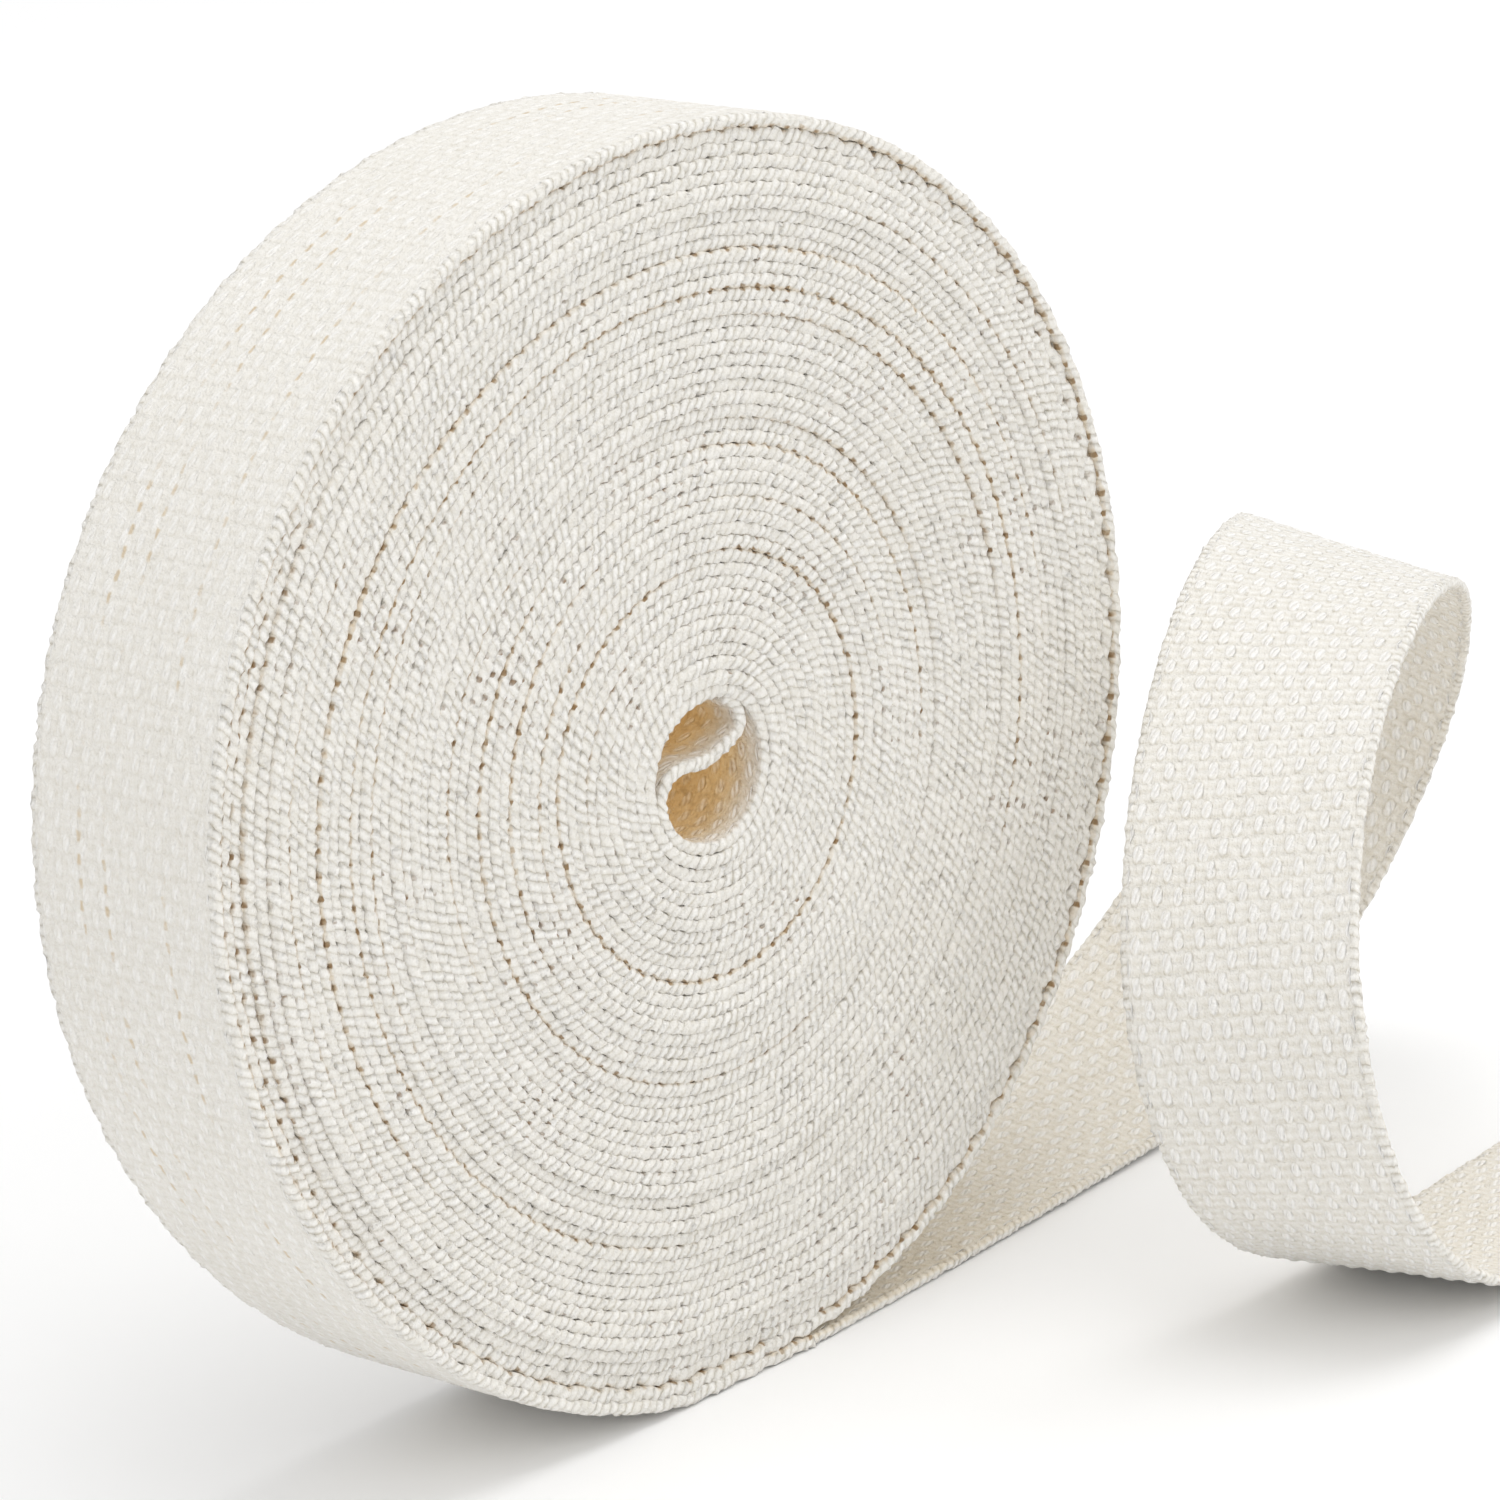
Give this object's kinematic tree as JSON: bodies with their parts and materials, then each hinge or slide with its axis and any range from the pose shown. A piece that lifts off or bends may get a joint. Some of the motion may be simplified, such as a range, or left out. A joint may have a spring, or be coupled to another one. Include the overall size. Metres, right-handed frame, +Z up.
{
  "type": "roll of cotton webbing",
  "caption": "Roll of natural cotton webbing standing on its rim, hollow at the centre, its loose end running out along the surface and standing up in one open loop.",
  "frame": {"origin": "on the surface, at the middle of the flat spot on which the roll stands", "axes": "+Z up; +X the way the loose end leaves the roll; +Y away from the front face, along the roll's axis"},
  "size_m": [0.1809, 0.089, 0.1293],
  "materials": {
    "wound_cotton": "natural undyed cotton webbing, edges of the wound turns",
    "loose_cotton": "natural undyed cotton webbing, coarse plain weave"
  },
  "bodies": {
    "root": {"roll": "wound_cotton", "loose_end": "loose_cotton"}
  },
  "joints": []
}
